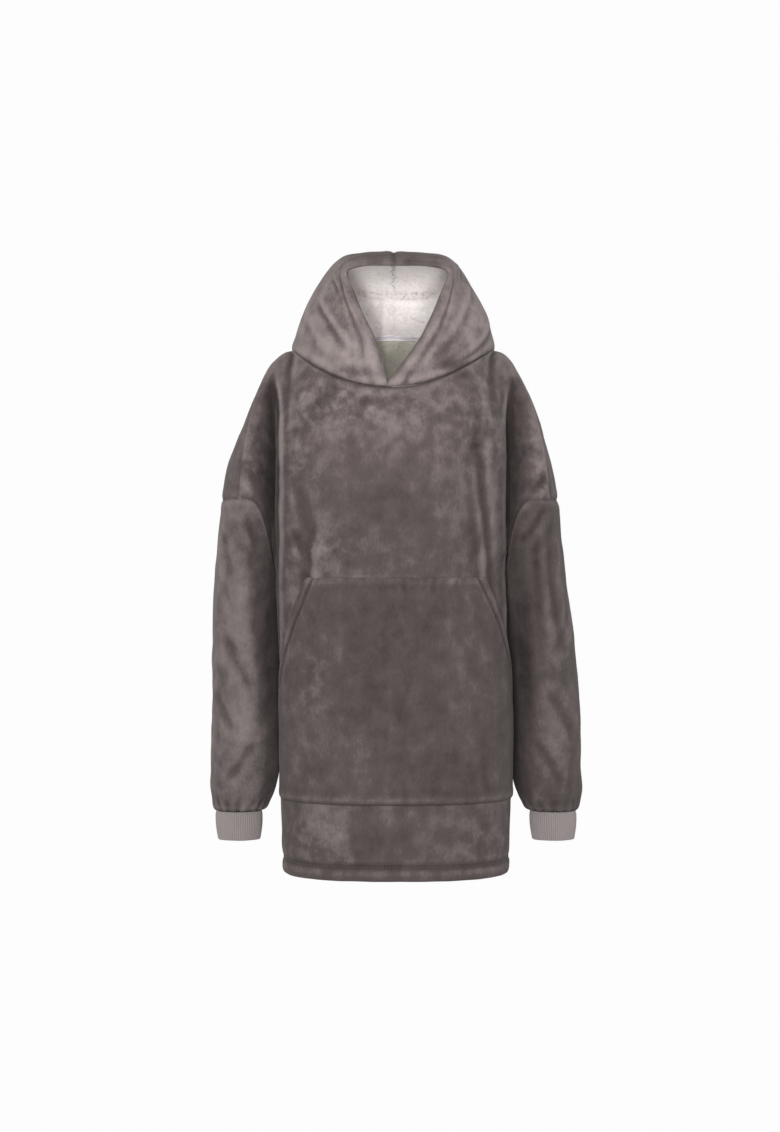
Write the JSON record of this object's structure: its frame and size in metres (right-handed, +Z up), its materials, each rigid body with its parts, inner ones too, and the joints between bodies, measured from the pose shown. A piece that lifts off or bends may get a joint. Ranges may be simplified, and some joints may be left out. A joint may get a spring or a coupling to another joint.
{
  "type": "fleece hoodie",
  "caption": "Oversized pullover hoodie of plush fleece, filled out as worn, with a sherpa-lined hood, dropped shoulders, rib cuffs and a front pocket.",
  "frame": {"origin": "middle of the shoulder line at the neck's base, where a wearer's shoulders hold the garment up", "axes": "+Z up, -Y to the garment's front, +X to the wearer's left"},
  "size_m": [0.6237, 0.3146, 1.0185],
  "materials": {
    "plush_fleece": "plush velvety fleece",
    "sherpa": "nubby sherpa pile",
    "rib_knit": "fine rib knit"
  },
  "bodies": {
    "root": {"front": "plush_fleece", "back": "plush_fleece", "sleeve_left": "plush_fleece", "sleeve_right": "plush_fleece", "cuff_left": "rib_knit", "cuff_right": "rib_knit", "pocket": "plush_fleece", "hood_left": "plush_fleece", "hood_right": "plush_fleece", "hood_lining_left": "sherpa", "hood_lining_right": "sherpa", "back_lining": "sherpa"}
  },
  "joints": []
}
